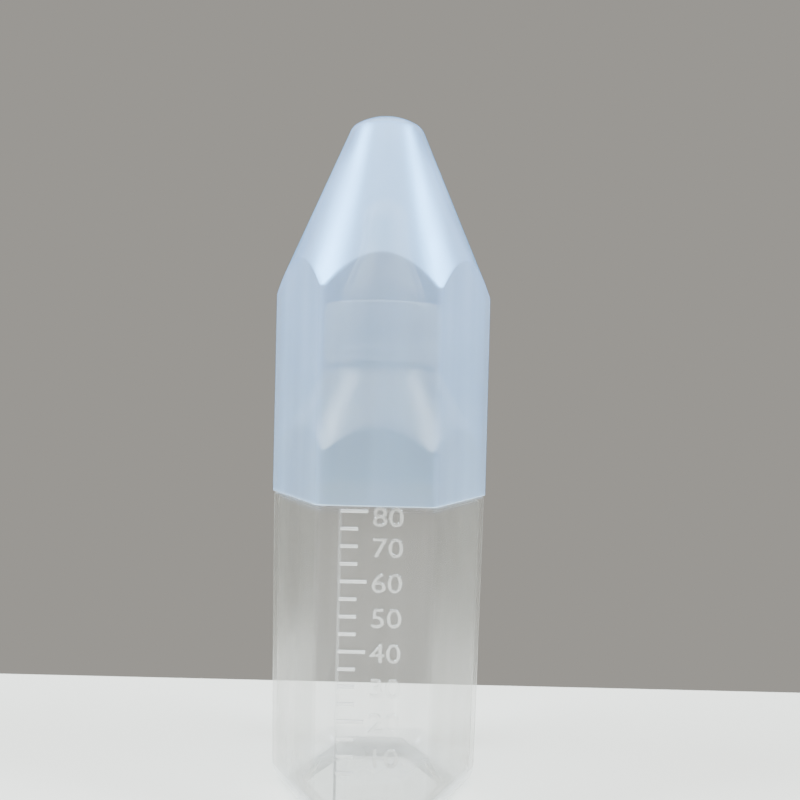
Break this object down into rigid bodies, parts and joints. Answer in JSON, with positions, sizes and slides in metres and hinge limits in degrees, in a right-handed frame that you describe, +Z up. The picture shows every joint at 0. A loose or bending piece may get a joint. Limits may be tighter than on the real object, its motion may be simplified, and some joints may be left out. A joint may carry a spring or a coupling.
{
  "type": "feeding bottle",
  "caption": "Small six-sided feeding bottle with a moulded filling scale, a screw collar that holds a hollow teat, and a tall push-on cap.",
  "frame": {"origin": "centre of the base, on the plane that the bottle stands on", "axes": "+Z up along the bottle's axis; the filling scale faces -Y; two of the six corners are on X"},
  "size_m": [0.0488, 0.0428, 0.1531],
  "materials": {
    "body_plastic": "natural translucent polypropylene, satin",
    "collar_plastic": "white translucent polypropylene, satin",
    "teat_silicone": "translucent silicone rubber, satin",
    "cap_plastic": "bluish-white translucent polypropylene, satin"
  },
  "bodies": {
    "bottle": {"bottle": "body_plastic"},
    "cap": {"cap": "cap_plastic"},
    "teat": {"teat": "teat_silicone"},
    "collar": {"screw_collar": "collar_plastic"}
  },
  "joints": [
    {"name": "cap_pull", "type": "slide", "parent": "bottle", "child": "cap", "axis": [0, 0, 1], "range_m": [0, 0.075]},
    {"name": "teat_lift", "type": "slide", "parent": "bottle", "child": "teat", "axis": [0, 0, 1], "range_m": [0, 0.0038]},
    {"name": "collar_turn", "type": "hinge", "parent": "teat", "child": "collar", "pos_m": [0, 0, 0.1042], "axis": [0, 0, 1], "range_deg": [0, 450]}
  ],
  "couplings": [
    {"joint": "teat_lift", "follows": "collar_turn", "m_per_rad": 0.00047746}
  ]
}
